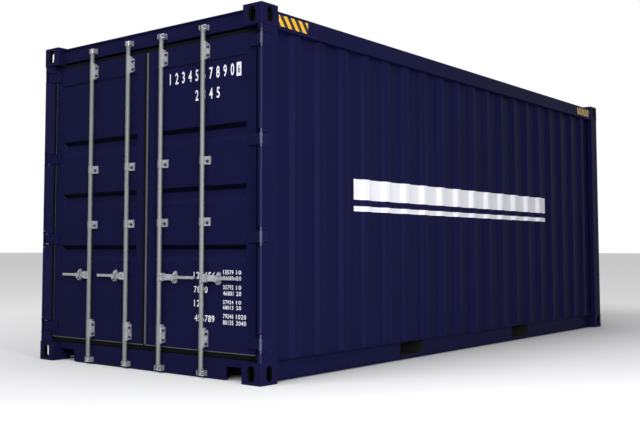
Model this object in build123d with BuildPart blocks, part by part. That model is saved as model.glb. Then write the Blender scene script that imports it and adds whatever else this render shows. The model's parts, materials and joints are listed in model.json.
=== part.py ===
"""Steel dry-freight shipping container with two hinged doors at one end.

Millimetres. The origin is the middle of the base, +Z is up, and the doors are at the -Y end.
Depths called "inset" are measured inwards from the outer face of the corner castings.
"""
import os

from build123d import *

os.makedirs("parts", exist_ok=True)

# Overall size, to the outer faces of the corner castings
length = 6058.0
width = 2438.0
height = 2591.0

# Corner castings: hollow blocks with three lifting apertures
casting_width = 178.0
casting_length = 178.0
casting_height = 148.0
casting_wall = 20.0
casting_plate = 28.0
casting_chamfer = 6.0
casting_face_wall = 32.0
face_aperture_width = 66.0
side_aperture_width = 56.0
face_aperture_height = 112.0
plan_aperture_length = 124.0
plan_aperture_width = 63.5

# Sides of the figure that stands for a full circle where no shaft turns
arc_sides = 12

# Steel that stands a little inside the castings
frame_inset = 3.0

# Door end posts
post_width = 77.0
post_setback = 3.0
post_front_flat = 31.0
post_chamfer_inset = 56.0

# Blind end posts, an angle in plan
end_post_reach = 127.0
end_post_setback = 13.0
end_post_leg = 52.0

# Door header, door sill and the beams of the blind end
header_drop = 136.0
header_inset = 60.0
header_depth = 70.0
header_lip_inset = 46.0
header_lip_height = 12.0
header_top_drop = 16.0
sill_inset = 62.0
sill_step = 2.0
sill_beam_height = 53.0
sill_beam_depth = 80.0
sill_plate_thickness = 12.0
sill_plate_bottom = 5.0
sill_notch_width = 196.0
end_beam_inset = 8.0
end_beam_depth = 60.0
end_sill_bottom = 20.0

# Side rails
top_rail_drop = 40.0
top_rail_step = 13.0
top_rail_depth = 64.0
bottom_rail_bottom = 8.0
bottom_rail_inset = 78.0
rail_plate = 6.0
top_flange_inset = 40.0
bottom_flange_inset = 48.0

# Forklift pockets through the bottom rails
pocket_spacing = 2050.0
pocket_width = 360.0
pocket_height = 115.0
pocket_plate = 6.0
pocket_strap_width = 200.0

# Pressed sheets
sheet = 4.0
side_crest_inset = 30.0
rib_depth = 30.0
rib_crest = 64.0
rib_slope = 36.0
rib_end_flat = 50.0
side_rib_pitch = 290.9
side_rib_shift = 14.0
end_crest_inset = 14.0
end_rib_pitch = 271.0
roof_rib_pitch = 209.0
roof_rib_width = 104.0
roof_rib_margin = 99.0
roof_rib_height = 18.0
roof_rib_taper = 45.0
roof_margin = 7.0

# Floor and the members under it
floor_thickness = 28.0
floor_door_gap = 12.0
floor_side_clearance = 4.0
member_height = 122.0
member_width = 45.0
member_plate = 5.0
member_count = 19
member_end_margin = 110.0
member_pocket_clearance = 30.0

# Door leaves
leaf_inset = 60.0
leaf_depth = 50.0
leaf_gap = 8.0
leaf_post_gap = 16.0
leaf_sill_gap = 38.0
leaf_header_gap = 41.0
stile_width = 90.0
hinge_stile_width = 84.0
leaf_rail_top = 150.0
leaf_rail_bottom = 140.0
panel_step = 4.0
band_tops = (1790.0, 1358.0, 936.0)
band_height = 113.0
band_depth = 28.0
band_slope = 28.0
band_side_margin = 10.0

# Rubber seal round each leaf
seal_inset = 62.0
seal_thickness = 16.0
seal_post_clearance = 5.0
seal_middle_clearance = 3.5
seal_end_clearance = 5.0

# Hinges: a pin at the outer corner of each door post
lower_hinges = (275.0, 992.0, 1658.0)
top_hinge_drop = 245.0
pin_radius = 7.0
pin_clearance = 0.3
pin_from_side = 16.0
pin_inset = 16.0
knuckle_radius = 13.0
lug_height = 24.0
lug_gap = 1.0
lug_flat = 6.0
blade_height = 80.0
blade_thickness = 12.0
blade_reach = 64.0
notch_inset = 72.0
notch_clearance = 2.0
notch_gap = 9.0
notch_throat = 3.5
notch_side_inset = 75.0
notch_margin = 5.0

# Locking bars
bar_radius = 18.0
bar_inset = 32.0
bar_clearance = 0.8
bar_edge_distance = 180.0
bar_half_way_lead = 26.5
sleeve_wall = 4.4
long_sleeve_length = 148.0
bottom_sleeve_height = 206.0
top_sleeve_drop = 182.0
long_plate_margin = 17.0
long_plate_foot = 5.0
short_sleeve_wall = 2.2
short_sleeve_length = 60.0
short_sleeve_heights = (1072.0, 1511.5)
bracket_reach = 58.0
bracket_thickness = 20.0

# Cams on the bar ends, and their keepers on the header and the sill
bottom_cam_height = 34.0
top_cam_drop = 84.0
cam_height = 42.0
cam_depth = 30.0
cam_back = 19.0
cam_reach = 39.0
cam_chamfer = 8.0
cam_slot_start = 19.0
keeper_base = 3.0
keeper_margin = 2.0
keeper_offset = 30.0
keeper_clearance = 5.0
keeper_tongue_height = 10.0
keeper_tongue_inset = 24.0
keeper_lug_thickness = 8.0
keeper_lug_inset = 20.0

# Handles
handle_height = 703.0
handle_tip_gap = 70.0
handle_thickness = 9.0
handle_root_height = 43.0
handle_tip_height = 20.0
handle_root_inset = 28.0
handle_tip_inset = 42.0
handle_bend_start = 78.0
handle_bend_end = 118.0
handle_shoulder = 113.0
handle_taper_length = 91.0
hub_reach = 58.0
hub_height = 60.0
hub_cheek = 8.0
hub_gap = 1.5
hub_pin_radius = 6.0
catch_offset = 146.0
catch_height = 90.0
catch_width = 36.0
catch_chamfer = 12.0
catch_plate = 7.0
catch_strap_width = 20.0
catch_strap_tilt = 32.0
catch_strap_length = 66.0
catch_strap_chamfer = 6.0
rest_plate = 11.0
rest_shelf = 8.0
rest_shelf_gap = 13.0
rest_shelf_front_inset = 34.0

# Outer faces and the lines that follow from them
door_face = -length / 2
end_face = length / 2
side_face = width / 2
casting_inner = side_face - casting_width
casting_back = length / 2 - casting_length
casting_underside = height - casting_height
post_inner = side_face - frame_inset - post_width
wall_front = door_face + casting_length - post_setback
wall_back = end_face - casting_length + end_post_setback
header_bottom = height - header_drop
header_top = height - header_top_drop
sill_top = casting_height + sill_step
top_rail_top = height - top_rail_drop
top_rail_bottom = casting_underside - top_rail_step
leaf_edge = post_inner - leaf_post_gap
leaf_bottom = sill_top + leaf_sill_gap
leaf_top = header_bottom - leaf_header_gap
panel_face = leaf_inset + panel_step
pin_x = side_face - pin_from_side
hinge_heights = (*lower_hinges, height - top_hinge_drop)
hinge_height = blade_height + 2 * (lug_height + lug_gap)
bar_offset = leaf_gap + bar_edge_distance
bar_spacing = (leaf_edge - bar_offset) / 2 - bar_half_way_lead
bar_offsets = (bar_offset, bar_offset + bar_spacing)
cam_heights = (bottom_cam_height, height - top_cam_drop)
hub_offset = bar_radius + hub_gap + handle_root_height / 2
handle_length = bar_spacing - bar_radius - handle_tip_gap
sides = (("left", -1), ("right", 1))
bar_names = ("inner", "outer")


def keep(piece, label):
    """Label a finished piece and write its file."""
    piece.part.label = label
    export_step(piece.part, f"parts/{label}.step")


def upright(y):
    """The upright plane across the container at y, facing the doors."""
    return Plane.XZ.offset(-y)


def from_doors(inset):
    """Y of a plane this far behind the casting faces of the door end."""
    return door_face + inset


def corrugation(start, end, pitch, shift, crest, trough):
    """Points (along, inset) on the outer face of a ribbed sheet."""
    room = end - start - rib_crest - 2 * (rib_slope + rib_end_flat)
    count = int(room / pitch) + 1
    middle = (start + end) / 2 + shift
    line = [(start, trough)]
    for index in range(count):
        centre = middle + (index - (count - 1) / 2) * pitch
        line.append((centre - rib_crest / 2 - rib_slope, trough))
        line.append((centre - rib_crest / 2, crest))
        line.append((centre + rib_crest / 2, crest))
        line.append((centre + rib_crest / 2 + rib_slope, trough))
    line.append((end, trough))
    return line


def thickened(line):
    """A closed outline: the line and the same line one sheet thickness further in."""
    return line + [(along, inset + sheet) for along, inset in reversed(line)]


def aperture(tall, wide):
    """Draw an upright opening with rounded ends in the sketch at hand."""
    straight = tall - wide
    Rectangle(wide, straight)
    with Locations((0, -straight / 2), (0, straight / 2)):
        RegularPolygon(wide / 2, arc_sides)


def strap(bar_x, radius, seat):
    """Points of a folded strap round the front of a bar, from seat to seat."""
    front = bar_inset - radius
    fold = radius * (2 - 2**0.5)
    return [
        (bar_x - radius, from_doors(seat)),
        (bar_x - radius, from_doors(front + fold)),
        (bar_x - radius + fold, from_doors(front)),
        (bar_x + radius - fold, from_doors(front)),
        (bar_x + radius, from_doors(front + fold)),
        (bar_x + radius, from_doors(seat)),
    ]


# Corner castings, two to a node
casting_x = side_face - casting_width / 2
casting_y = length / 2 - casting_length / 2
for end_name, end_sign in (("door", -1), ("end", 1)):
    for level, middle, plan_face in (
        ("bottom", casting_height / 2, 0.0),
        ("top", height - casting_height / 2, height),
    ):
        with BuildPart() as castings:
            with Locations(*[(sign * casting_x, end_sign * casting_y, middle) for _, sign in sides]):
                Box(casting_width, casting_length, casting_height)
            chamfer(castings.edges().filter_by(Axis.Z), casting_chamfer)
            with Locations(*[(sign * casting_x, end_sign * casting_y, middle) for _, sign in sides]):
                Box(
                    casting_width - 2 * casting_wall,
                    casting_length - 2 * casting_face_wall,
                    casting_height - 2 * casting_plate,
                    mode=Mode.SUBTRACT,
                )
            with BuildSketch(upright(end_sign * length / 2)):
                with Locations(*[(sign * casting_x, middle) for _, sign in sides]):
                    aperture(face_aperture_height, face_aperture_width)
            extrude(amount=end_sign * (casting_face_wall + casting_wall), mode=Mode.SUBTRACT)
            for _, sign in sides:
                with BuildSketch(Plane.YZ.offset(sign * side_face)):
                    with Locations((end_sign * casting_y, middle)):
                        aperture(face_aperture_height, side_aperture_width)
                extrude(amount=-sign * casting_wall * 2, mode=Mode.SUBTRACT)
            with BuildSketch(Plane.XY.offset(plan_face)):
                with Locations(*[(sign * casting_x, end_sign * casting_y) for _, sign in sides]):
                    aperture(plan_aperture_length, plan_aperture_width)
            inward = casting_plate if plan_face == 0 else -casting_plate
            extrude(amount=inward, mode=Mode.SUBTRACT)
        keep(castings, f"castings_{end_name}_{level}")

# Door end posts, cut away behind each hinge blade and slotted for the lugs of its pin
for side, sign in sides:
    outer = side_face - frame_inset
    throat = pin_inset + knuckle_radius + notch_gap
    with BuildPart() as door_post:
        with BuildSketch(Plane.XY.offset(casting_height)):
            with BuildLine():
                Polyline(
                    (sign * outer, from_doors(frame_inset)),
                    (sign * (outer - post_front_flat), from_doors(frame_inset)),
                    (sign * post_inner, from_doors(post_chamfer_inset)),
                    (sign * post_inner, wall_front),
                    (sign * outer, wall_front),
                    close=True,
                )
            make_face()
        extrude(amount=height - 2 * casting_height)
        for centre in hinge_heights:
            with BuildSketch(Plane.XY.offset(centre - blade_height / 2 - notch_margin)):
                with BuildLine():
                    Polyline(
                        (sign * leaf_edge, from_doors(0)),
                        (sign * leaf_edge, from_doors(leaf_inset + notch_gap)),
                        (sign * (pin_x - notch_throat), from_doors(throat)),
                        (sign * side_face, from_doors(notch_side_inset)),
                        (sign * side_face, from_doors(0)),
                        close=True,
                    )
                make_face()
            extrude(amount=blade_height + 2 * notch_margin, mode=Mode.SUBTRACT)
            slot_inner = pin_x - knuckle_radius - notch_clearance
            for end in (-1, 1):
                with Locations(
                    (
                        sign * (slot_inner + side_face) / 2,
                        from_doors(0),
                        centre + end * (hinge_height - lug_height) / 2,
                    )
                ):
                    Box(
                        side_face - slot_inner,
                        2 * notch_inset,
                        lug_height + 2 * notch_clearance,
                        mode=Mode.SUBTRACT,
                    )
    keep(door_post, f"door_post_{side}")

# Blind end posts
for side, sign in sides:
    outer = side_face - frame_inset
    back = end_face - frame_inset
    with BuildPart() as end_post:
        with BuildSketch(Plane.XY.offset(casting_height)):
            with BuildLine():
                Polyline(
                    (sign * outer, back),
                    (sign * (outer - end_post_reach), back),
                    (sign * (outer - end_post_reach), back - end_post_leg),
                    (sign * (outer - end_post_leg), back - end_post_leg),
                    (sign * (outer - end_post_leg), wall_back),
                    (sign * outer, wall_back),
                    close=True,
                )
            make_face()
        extrude(amount=height - 2 * casting_height)
    keep(end_post, f"end_post_{side}")

# Header over the doors, with a drip lip and a cover plate that reaches the roof
with BuildPart() as door_header:
    with BuildSketch(Plane.YZ.offset(-casting_inner)):
        with BuildLine():
            Polyline(
                (from_doors(header_inset), header_bottom),
                (from_doors(header_inset), header_top - header_lip_height),
                (from_doors(header_lip_inset), header_top - header_lip_height),
                (from_doors(header_lip_inset), header_top),
                (from_doors(casting_length), header_top),
                (from_doors(casting_length), top_rail_top),
                (from_doors(header_inset + header_depth), top_rail_top),
                (from_doors(header_inset + header_depth), header_bottom),
                close=True,
            )
        make_face()
    extrude(amount=2 * casting_inner)
keep(door_header, "door_header")

# Sill under the doors: a beam, and a front plate that stops short of the castings
with BuildPart() as door_sill:
    with BuildSketch(upright(from_doors(sill_inset))):
        with Locations((0, sill_top - sill_beam_height / 2)):
            Rectangle(2 * casting_inner, sill_beam_height)
    extrude(amount=-sill_beam_depth)
    with BuildSketch(upright(from_doors(sill_inset))):
        with Locations((0, (sill_top + sill_plate_bottom) / 2)):
            Rectangle(2 * (casting_inner - sill_notch_width), sill_top - sill_plate_bottom)
    extrude(amount=-sill_plate_thickness)
keep(door_sill, "door_sill")

# Header and sill of the blind end
with BuildPart() as end_header:
    with BuildSketch(Plane.YZ.offset(-casting_inner)):
        with BuildLine():
            Polyline(
                (end_face - end_beam_inset, casting_underside),
                (end_face - end_beam_inset, header_top),
                (casting_back, header_top),
                (casting_back, top_rail_top),
                (end_face - end_beam_inset - end_beam_depth, top_rail_top),
                (end_face - end_beam_inset - end_beam_depth, casting_underside),
                close=True,
            )
        make_face()
    extrude(amount=2 * casting_inner)
keep(end_header, "end_header")

with BuildPart() as end_sill:
    with BuildSketch(Plane.YZ.offset(-casting_inner)):
        with BuildLine():
            Polyline(
                (end_face - end_beam_inset, end_sill_bottom),
                (end_face - end_beam_inset, sill_top),
                (end_face - end_beam_inset - end_beam_depth, sill_top),
                (end_face - end_beam_inset - end_beam_depth, end_sill_bottom),
                close=True,
            )
        make_face()
    extrude(amount=2 * casting_inner)
keep(end_sill, "end_sill")

# Top side rails
for side, sign in sides:
    with BuildPart() as top_rail:
        with BuildSketch(Plane.XY.offset(top_rail_bottom)):
            with Locations((sign * (side_face - frame_inset - top_rail_depth / 2), 0)):
                Rectangle(top_rail_depth, 2 * casting_back)
        extrude(amount=top_rail_top - top_rail_bottom)
    keep(top_rail, f"top_rail_{side}")

# Bottom side rails: a channel open outwards, cut through at the forklift pockets
for side, sign in sides:
    web = side_face - bottom_rail_inset
    with BuildPart() as bottom_rail:
        with BuildSketch(upright(casting_back)):
            with BuildLine():
                Polyline(
                    (sign * (side_face - top_flange_inset), sill_top),
                    (sign * (side_face - top_flange_inset), sill_top - rail_plate),
                    (sign * web, sill_top - rail_plate),
                    (sign * web, bottom_rail_bottom + rail_plate),
                    (sign * (side_face - bottom_flange_inset), bottom_rail_bottom + rail_plate),
                    (sign * (side_face - bottom_flange_inset), bottom_rail_bottom),
                    (sign * (web - rail_plate), bottom_rail_bottom),
                    (sign * (web - rail_plate), sill_top),
                    close=True,
                )
            make_face()
        extrude(amount=2 * casting_back)
        pocket_top = sill_top - rail_plate
        with Locations(
            *[
                (sign * web, y_sign * pocket_spacing / 2, pocket_top - pocket_height / 2)
                for y_sign in (-1, 1)
            ]
        ):
            Box(4 * rail_plate, pocket_width, pocket_height, mode=Mode.SUBTRACT)
    keep(bottom_rail, f"bottom_rail_{side}")

# Ribbed side walls
side_line = corrugation(
    wall_front,
    wall_back,
    side_rib_pitch,
    side_rib_shift,
    side_crest_inset,
    side_crest_inset + rib_depth,
)
for side, sign in sides:
    with BuildPart() as side_wall:
        with BuildSketch(Plane.XY.offset(sill_top)):
            with BuildLine():
                Polyline(
                    *[(sign * (side_face - inset), along) for along, inset in thickened(side_line)],
                    close=True,
                )
            make_face()
        extrude(amount=top_rail_bottom - sill_top)
    keep(side_wall, f"side_wall_{side}")

# Ribbed end wall
end_half = side_face - frame_inset - end_post_reach
end_line = corrugation(-end_half, end_half, end_rib_pitch, 0, end_crest_inset, end_crest_inset + rib_depth)
with BuildPart() as end_wall:
    with BuildSketch(Plane.XY.offset(sill_top)):
        with BuildLine():
            Polyline(*[(along, end_face - inset) for along, inset in thickened(end_line)], close=True)
        make_face()
    extrude(amount=casting_underside - sill_top)
keep(end_wall, "end_wall")

# Roof: one sheet on the top rails, with pressed ribs across it
roof_room = 2 * (casting_back - rib_end_flat) - roof_rib_width
roof_rib_count = int(roof_room / roof_rib_pitch) + 1
with BuildPart() as roof:
    with BuildSketch(Plane.XY.offset(top_rail_top)):
        Rectangle(width - 2 * roof_margin, 2 * casting_back)
    extrude(amount=sheet)
    for foot, action in ((top_rail_top + sheet, Mode.ADD), (top_rail_top, Mode.SUBTRACT)):
        with BuildSketch(Plane.XY.offset(foot)):
            with GridLocations(width, roof_rib_pitch, 1, roof_rib_count):
                Rectangle(width - 2 * roof_rib_margin, roof_rib_width)
        extrude(amount=roof_rib_height, taper=roof_rib_taper, mode=action)
keep(roof, "roof")

# Plywood floor
floor_front = from_doors(leaf_inset + leaf_depth + floor_door_gap)
floor_back = end_face - frame_inset - end_post_leg - floor_side_clearance
floor_half = side_face - side_crest_inset - rib_depth - sheet - floor_side_clearance
floor_neck = post_inner - floor_side_clearance
with BuildPart() as floor_deck:
    with BuildSketch(Plane.XY.offset(sill_top)):
        with BuildLine():
            Polyline(
                (-floor_neck, floor_front),
                (floor_neck, floor_front),
                (floor_neck, wall_front + floor_side_clearance),
                (floor_half, wall_front + floor_side_clearance),
                (floor_half, floor_back),
                (-floor_half, floor_back),
                (-floor_half, wall_front + floor_side_clearance),
                (-floor_neck, wall_front + floor_side_clearance),
                close=True,
            )
        make_face()
    extrude(amount=floor_thickness)
keep(floor_deck, "floor")

# Channels that carry the floor, left out where the forklift pockets pass
web_inner = side_face - bottom_rail_inset - rail_plate
member_start = from_doors(sill_inset + sill_beam_depth + member_end_margin)
member_step = -2 * member_start / (member_count - 1)
pocket_zone = pocket_width / 2 + member_pocket_clearance + member_width / 2
member_places = [
    member_start + index * member_step
    for index in range(member_count)
    if abs(abs(member_start + index * member_step) - pocket_spacing / 2) > pocket_zone
]
with BuildPart() as cross_members:
    with BuildSketch(Plane.YZ.offset(-web_inner)):
        with Locations(*[(place, sill_top - member_height / 2) for place in member_places]):
            Rectangle(member_width, member_height)
        with Locations(*[(place + member_plate, sill_top - member_height / 2) for place in member_places]):
            Rectangle(member_width, member_height - 2 * member_plate, mode=Mode.SUBTRACT)
    extrude(amount=2 * web_inner)
keep(cross_members, "cross_members")

# Forklift pockets: a tunnel roof and walls, with a strap under each mouth
pocket_bottom = sill_top - rail_plate - pocket_height
with BuildPart() as forklift_pockets:
    with BuildSketch(Plane.YZ.offset(-web_inner)):
        with Locations(*[(y_sign * pocket_spacing / 2, pocket_bottom) for y_sign in (-1, 1)]):
            Rectangle(
                pocket_width + 2 * pocket_plate,
                pocket_height + rail_plate,
                align=(Align.CENTER, Align.MIN),
            )
            Rectangle(pocket_width, pocket_height, align=(Align.CENTER, Align.MIN), mode=Mode.SUBTRACT)
    extrude(amount=2 * web_inner)
    with Locations(
        *[
            (sign * (web_inner - pocket_strap_width / 2), y_sign * pocket_spacing / 2, pocket_bottom)
            for _, sign in sides
            for y_sign in (-1, 1)
        ]
    ):
        Box(
            pocket_strap_width,
            pocket_width + 2 * pocket_plate,
            pocket_plate,
            align=(Align.CENTER, Align.CENTER, Align.MAX),
        )
keep(forklift_pockets, "forklift_pockets")

# Hinge pins with their two lugs, welded in the notches of the door posts
for side, sign in sides:
    with BuildPart() as hinge_pins:
        for centre in hinge_heights:
            bottom = centre - hinge_height / 2
            for lug_bottom in (bottom, bottom + hinge_height - lug_height):
                with BuildSketch(Plane.XY.offset(lug_bottom)):
                    with BuildLine():
                        Polyline(
                            (sign * (pin_x - knuckle_radius), from_doors(notch_inset)),
                            (sign * (pin_x - knuckle_radius), from_doors(pin_inset - lug_flat)),
                            (sign * (pin_x - lug_flat), from_doors(pin_inset - knuckle_radius)),
                            (sign * (pin_x + lug_flat), from_doors(pin_inset - knuckle_radius)),
                            (sign * (pin_x + knuckle_radius), from_doors(pin_inset - lug_flat)),
                            (sign * (pin_x + knuckle_radius), from_doors(notch_inset)),
                            close=True,
                        )
                    make_face()
                extrude(amount=lug_height)
            with BuildSketch(Plane.XY.offset(bottom + lug_height)):
                with Locations((sign * pin_x, from_doors(pin_inset))):
                    Circle(pin_radius)
            extrude(amount=hinge_height - 2 * lug_height)
    keep(hinge_pins, f"hinge_pins_{side}")

# Keepers for the cams: a tongue that the cam's slot passes, and a lug on the other side of the bar
with BuildPart() as cam_keepers:
    for _, sign in sides:
        for offset in bar_offsets:
            for centre, face in zip(cam_heights, (sill_inset, header_inset)):
                lug_x = sign * (offset - keeper_offset - keeper_lug_thickness / 2)
                tongue_x = sign * (offset + (keeper_offset + cam_reach) / 2)
                base_width = keeper_offset + keeper_lug_thickness + cam_reach
                base_x = sign * (offset + cam_reach - base_width / 2)
                with BuildSketch(upright(from_doors(face))):
                    with Locations((base_x, centre)):
                        Rectangle(base_width, cam_height + 2 * keeper_margin)
                extrude(amount=keeper_base)
                with BuildSketch(upright(from_doors(face))):
                    with Locations((tongue_x, centre)):
                        Rectangle(cam_reach - keeper_offset, keeper_tongue_height)
                extrude(amount=face - keeper_tongue_inset)
                with BuildSketch(upright(from_doors(face))):
                    with Locations((lug_x, centre)):
                        Rectangle(keeper_lug_thickness, cam_height)
                extrude(amount=face - keeper_lug_inset)
keep(cam_keepers, "cam_keepers")

# Door leaves
band_width = leaf_edge - leaf_gap - stile_width - hinge_stile_width - 2 * band_side_margin
for side, sign in sides:
    leaf_middle = sign * (leaf_gap + leaf_edge) / 2
    leaf_width = leaf_edge - leaf_gap
    opening_left = leaf_gap + stile_width
    opening_right = leaf_edge - hinge_stile_width
    panel_middle = sign * (opening_left + opening_right) / 2
    panel_bottom = leaf_bottom + leaf_rail_bottom
    panel_top = leaf_top - leaf_rail_top
    panel_centre = (panel_middle, (panel_bottom + panel_top) / 2)

    # Frame of the leaf, from rectangular tube
    with BuildPart() as door_frame:
        with BuildSketch(upright(from_doors(leaf_inset))):
            with Locations((leaf_middle, (leaf_bottom + leaf_top) / 2)):
                Rectangle(leaf_width, leaf_top - leaf_bottom)
            with Locations(panel_centre):
                Rectangle(opening_right - opening_left, panel_top - panel_bottom, mode=Mode.SUBTRACT)
        extrude(amount=-leaf_depth)
    keep(door_frame, f"door_frame_{side}")

    # Panel of the leaf, with three pressed bands
    bands = [(panel_middle, top - band_height / 2) for top in band_tops]
    with BuildPart() as door_panel:
        with BuildSketch(upright(from_doors(panel_face))):
            with Locations(panel_centre):
                Rectangle(opening_right - opening_left, panel_top - panel_bottom)
        extrude(amount=-sheet)
        for foot, action in ((panel_face + sheet, Mode.ADD), (panel_face, Mode.SUBTRACT)):
            for band in bands:
                with BuildSketch(upright(from_doors(foot))):
                    with Locations(band):
                        Rectangle(band_width, band_height)
                with BuildSketch(upright(from_doors(foot + band_depth))):
                    with Locations(band):
                        Rectangle(band_width - 2 * band_slope, band_height - 2 * band_slope)
                loft(mode=action)
    keep(door_panel, f"door_panel_{side}")

    # Rubber seal round the leaf
    seal_outer = post_inner - seal_post_clearance
    seal_width = seal_outer - seal_middle_clearance
    seal_height = casting_underside - sill_top - 2 * seal_end_clearance
    with BuildPart() as door_seal:
        with BuildSketch(upright(from_doors(seal_inset))):
            with Locations(
                (sign * (seal_middle_clearance + seal_width / 2), (sill_top + casting_underside) / 2)
            ):
                Rectangle(seal_width, seal_height)
            with Locations((leaf_middle, (leaf_bottom + leaf_top) / 2)):
                Rectangle(leaf_width, leaf_top - leaf_bottom, mode=Mode.SUBTRACT)
        extrude(amount=-seal_thickness)
    keep(door_seal, f"door_seal_{side}")

    # Hinge blades, from the knuckle round the pin to the face of the leaf
    with BuildPart() as door_hinges:
        for centre in hinge_heights:
            with BuildSketch(Plane.XY.offset(centre - blade_height / 2)):
                with BuildLine():
                    Polyline(
                        (sign * (leaf_edge - blade_reach), from_doors(leaf_inset)),
                        (sign * leaf_edge, from_doors(leaf_inset)),
                        (sign * pin_x, from_doors(pin_inset + knuckle_radius)),
                        (sign * pin_x, from_doors(pin_inset - knuckle_radius / 2)),
                        (sign * leaf_edge, from_doors(leaf_inset - blade_thickness)),
                        (sign * (leaf_edge - blade_reach), from_doors(leaf_inset - blade_thickness)),
                        close=True,
                    )
                make_face()
                with Locations((sign * pin_x, from_doors(pin_inset))):
                    RegularPolygon(knuckle_radius, arc_sides)
                    Circle(pin_radius + pin_clearance, mode=Mode.SUBTRACT)
            extrude(amount=blade_height)
    keep(door_hinges, f"door_hinges_{side}")

    # Straps that carry the locking bars, and the rests behind the handles
    top_sleeve_height = height - top_sleeve_drop - long_sleeve_length
    long_form = (long_sleeve_length, sleeve_wall, long_plate_foot, long_plate_margin, leaf_inset)
    short_form = (short_sleeve_length, short_sleeve_wall, 0, 0, panel_face)
    bearings = [(low, *long_form) for low in (bottom_sleeve_height, top_sleeve_height)]
    bearings += [(low, *short_form) for low in short_sleeve_heights]
    with BuildPart() as door_fittings:
        for offset in bar_offsets:
            bar_x = sign * offset
            for low, tall, wall, foot, margin, seat in bearings:
                bore = bar_radius + bar_clearance
                outline = strap(bar_x, bore + wall, seat)
                outline += reversed(strap(bar_x, bore, seat))
                with BuildSketch(Plane.XY.offset(low)):
                    with BuildLine():
                        Polyline(*outline, close=True)
                    make_face()
                extrude(amount=tall)
                wing = bracket_reach - bore
                wing_x = bar_x + bracket_reach - wing / 2
                with BuildSketch(Plane.XY.offset(low + foot)):
                    with Locations((wing_x, from_doors(seat - bracket_thickness / 2))):
                        Rectangle(wing, bracket_thickness)
                extrude(amount=tall - foot - margin)
            rest_x = sign * (offset + catch_offset)
            with BuildSketch(upright(from_doors(panel_face))) as rest_outline:
                with Locations((rest_x, handle_height)):
                    Rectangle(catch_width, catch_height)
                chamfer(rest_outline.vertices(), catch_chamfer)
            extrude(amount=rest_plate)
            shelf_top = handle_height - handle_root_height / 2 - rest_shelf_gap
            with BuildSketch(Plane.XY.offset(shelf_top - rest_shelf)):
                with Locations((rest_x, from_doors((panel_face + rest_shelf_front_inset) / 2))):
                    Rectangle(catch_width - 2 * catch_chamfer, panel_face - rest_shelf_front_inset)
            extrude(amount=rest_shelf)
    keep(door_fittings, f"door_fittings_{side}")

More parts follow.
